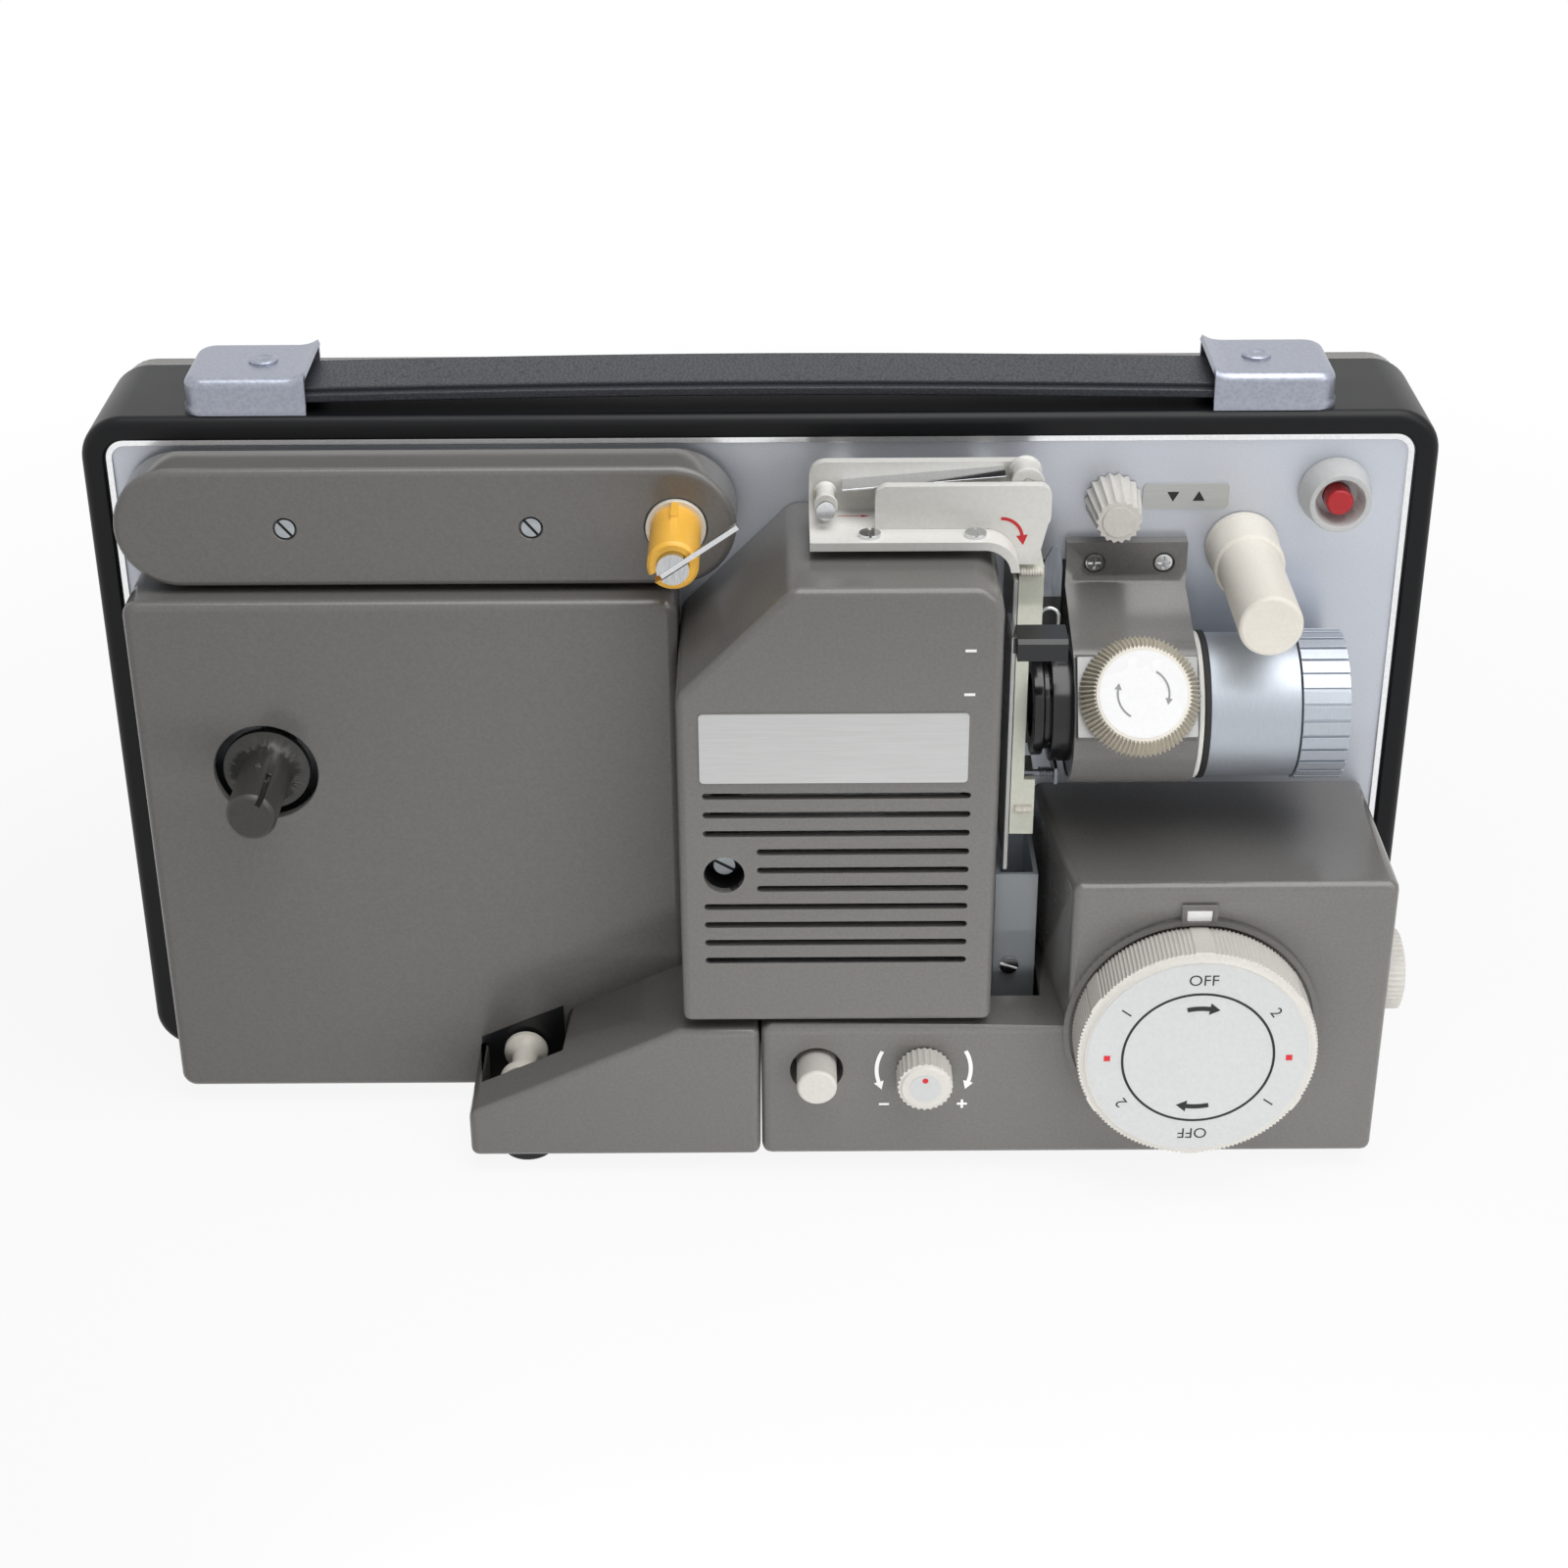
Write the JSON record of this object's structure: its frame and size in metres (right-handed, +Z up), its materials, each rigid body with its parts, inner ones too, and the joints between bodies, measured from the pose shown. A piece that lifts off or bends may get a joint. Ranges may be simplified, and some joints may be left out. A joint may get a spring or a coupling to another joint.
{
  "type": "movie projector",
  "caption": "Small-gauge movie projector with a swing-up supply arm, a louvred lamphouse, a zoom lens with focus knob, film guides and a rotary main switch on a flat carrying case.",
  "frame": {"origin": "on the floor under the centre of the bounding box", "axes": "+X the way the lens throws the picture, -Y the threading side, +Z up"},
  "size_m": [0.334, 0.157, 0.1999],
  "materials": {
    "case_black": "satin black paint",
    "cover_grey": "fine-grained warm grey moulding",
    "panel_silver": "satin metallic silver paint",
    "cap_silver": "hammered silver paint",
    "strap_black": "black leatherette strap",
    "rubber": "black rubber",
    "steel": "plain bright steel",
    "chrome": "chrome plate",
    "cream": "cream moulding",
    "gate_cream": "pale cream moulding",
    "yellow": "yellow moulding",
    "red": "red moulding",
    "dark_grey": "dark grey moulding",
    "black_plastic": "black moulding",
    "aluminium": "satin anodised aluminium",
    "glass": "coated lens glass",
    "clear_plastic": "clear moulding",
    "lamp": "glass lamp with a mirror coating",
    "bronze": "sintered bronze",
    "motor_grey": "zinc-plated steel shell",
    "core": "varnished steel core and winding"
  },
  "bodies": {
    "body": {"case_band": "case_black", "rear_cover": "cover_grey", "front_panel": "panel_silver", "chassis_plate": "steel", "feet": "rubber", "handle_caps": "cap_silver", "take_up_cover": "cover_grey", "base_cover": "cover_grey", "control_housing": "cover_grey", "lamp": "lamp", "lamp_socket": "dark_grey", "arm_pivot": "steel", "take_up_belt": "rubber", "film_guide": "cream", "guide_plate": "panel_silver", "tension_strip": "chrome", "aperture_plate": "chrome", "gate_spring": "steel", "gate_arm": "chrome", "lower_guide": "clear_plastic", "lens_holder": "cover_grey", "steel_screws": "steel", "button_bezel": "panel_silver", "shaft_bearings": "bronze", "motor": "motor_grey", "drive_belt": "rubber", "transformer": "core", "mains_inlet": "black_plastic"},
    "arm": {"supply_arm": "cover_grey", "arm_screws": "steel"},
    "supply": {"spindle_collar": "cream", "supply_spindle": "yellow", "spindle_stud": "steel"},
    "clip": {"reel_clip": "chrome"},
    "take_up": {"take_up_spindle": "dark_grey", "take_up_pulley": "dark_grey"},
    "lamphouse": {"lamphouse_cover": "cover_grey", "cover_screw": "steel"},
    "roller_left": {"guide_roller_left": "cream"},
    "roller_right": {"guide_roller_right": "cream"},
    "exit": {"exit_roller": "cream"},
    "gate": {"pressure_gate": "gate_cream"},
    "selector": {"selector_lever": "black_plastic"},
    "lens": {"lens_barrel": "aluminium", "rear_barrel": "black_plastic", "lens_glass": "glass"},
    "zoom": {"zoom_ring": "aluminium"},
    "focus": {"focus_knob": "cream"},
    "framing": {"framing_knob": "cream"},
    "inching": {"inching_knob": "cream", "main_shaft": "steel"},
    "shutter_disc": {"shutter": "black_plastic"},
    "rotor": {"motor_rotor": "dark_grey"},
    "push": {"push_button": "red"},
    "dial": {"dial_knob": "cream"},
    "slow": {"slow_button": "cream"},
    "speed": {"speed_knob": "cream"},
    "tilt": {"tilt_knob": "cream"},
    "foot": {"tilt_foot": "rubber"},
    "strap": {"handle_strap": "strap_black"}
  },
  "joints": [
    {"name": "arm_swing", "type": "hinge", "parent": "body", "child": "arm", "pos_m": [-0.1424, -0.0205, 0.1658], "axis": [0, -1, 0], "range_deg": [0, 90]},
    {"name": "supply_spin", "type": "hinge", "parent": "arm", "child": "supply", "pos_m": [-0.0206, -0.0365, 0.1658], "axis": [0, -1, 0], "continuous": true},
    {"name": "clip_flip", "type": "hinge", "parent": "supply", "child": "clip", "pos_m": [-0.0206, -0.051, 0.1658], "axis": [0.5678, 0, -0.8231], "range_deg": [0, 90]},
    {"name": "take_up_spin", "type": "hinge", "parent": "body", "child": "take_up", "pos_m": [-0.1256, -0.0415, 0.1016], "axis": [0, -1, 0], "continuous": true},
    {"name": "lamphouse_pull", "type": "slide", "parent": "body", "child": "lamphouse", "axis": [0, -1, 0], "range_m": [0, 0.06]},
    {"name": "roller_left_spin", "type": "hinge", "parent": "body", "child": "roller_left", "pos_m": [0.0157, -0.0325, 0.1755], "axis": [0, -1, 0], "continuous": true},
    {"name": "roller_right_spin", "type": "hinge", "parent": "body", "child": "roller_right", "pos_m": [0.0638, -0.0325, 0.1808], "axis": [0, -1, 0], "continuous": true},
    {"name": "exit_spin", "type": "hinge", "parent": "body", "child": "exit", "pos_m": [-0.0637, -0.0415, 0.018], "axis": [0, -1, 0], "continuous": true},
    {"name": "gate_lift", "type": "slide", "parent": "body", "child": "gate", "axis": [1, 0, 0], "range_m": [0, 0.0005], "stiffness_N_per_m": 300, "springref_m": -0.001},
    {"name": "format_slide", "type": "slide", "parent": "body", "child": "selector", "axis": [0, 0, -1], "range_m": [0, 0.011]},
    {"name": "focus_turn", "type": "hinge", "parent": "body", "child": "focus", "pos_m": [0.0917, -0.0325, 0.1197], "axis": [0, -0.848, 0.5299], "range_deg": [-5.8, 143.3]},
    {"name": "lens_slide", "type": "slide", "parent": "body", "child": "lens", "axis": [1, 0, 0], "range_m": [-0.0002, 0.005]},
    {"name": "zoom_turn", "type": "hinge", "parent": "lens", "child": "zoom", "pos_m": [0.137, -0.0325, 0.1197], "axis": [1, 0, 0], "range_deg": [-60, 60]},
    {"name": "framing_turn", "type": "hinge", "parent": "body", "child": "framing", "pos_m": [0.0874, -0.0175, 0.1663], "axis": [0, -1, 0], "range_deg": [-60, 60]},
    {"name": "inching_turn", "type": "hinge", "parent": "body", "child": "inching", "pos_m": [0.1203, -0.0315, 0.1536], "axis": [0, -1, 0], "continuous": true},
    {"name": "shutter_spin", "type": "hinge", "parent": "body", "child": "shutter_disc", "pos_m": [0.053, -0.002, 0.122], "axis": [1, 0, 0], "continuous": true},
    {"name": "rotor_spin", "type": "hinge", "parent": "body", "child": "rotor", "pos_m": [0.092, 0.0285, 0.061], "axis": [0, -1, 0], "continuous": true},
    {"name": "push_press", "type": "slide", "parent": "body", "child": "push", "axis": [0, 1, 0], "range_m": [0, 0.0025], "stiffness_N_per_m": 400, "springref_m": -0.001},
    {"name": "switch_turn", "type": "hinge", "parent": "body", "child": "dial", "pos_m": [0.10775, -0.0715, 0.0446], "axis": [0, -1, 0], "continuous": true},
    {"name": "slow_press", "type": "slide", "parent": "body", "child": "slow", "axis": [0, 1, 0], "range_m": [0, 0.004], "stiffness_N_per_m": 300, "springref_m": -0.001},
    {"name": "speed_turn", "type": "hinge", "parent": "body", "child": "speed", "pos_m": [0.0406, -0.0685, 0.0318], "axis": [0, -1, 0], "range_deg": [-120, 120]},
    {"name": "tilt_turn", "type": "hinge", "parent": "body", "child": "tilt", "pos_m": [0.14, -0.0495, 0.052], "axis": [1, 0, 0], "range_deg": [0, 114.5]},
    {"name": "foot_slide", "type": "slide", "parent": "body", "child": "foot", "axis": [0, 0, -1], "range_m": [0, 0.012]},
    {"name": "strap_lift", "type": "slide", "parent": "body", "child": "strap", "axis": [0, 0, 1], "range_m": [0, 0.0018]}
  ],
  "couplings": [
    {"joint": "focus_turn", "follows": "lens_slide", "rad_per_m": 500},
    {"joint": "shutter_spin", "follows": "inching_turn", "ratio": 6},
    {"joint": "rotor_spin", "follows": "inching_turn", "ratio": 3.6667},
    {"joint": "foot_slide", "follows": "tilt_turn", "m_per_rad": 0.006}
  ]
}
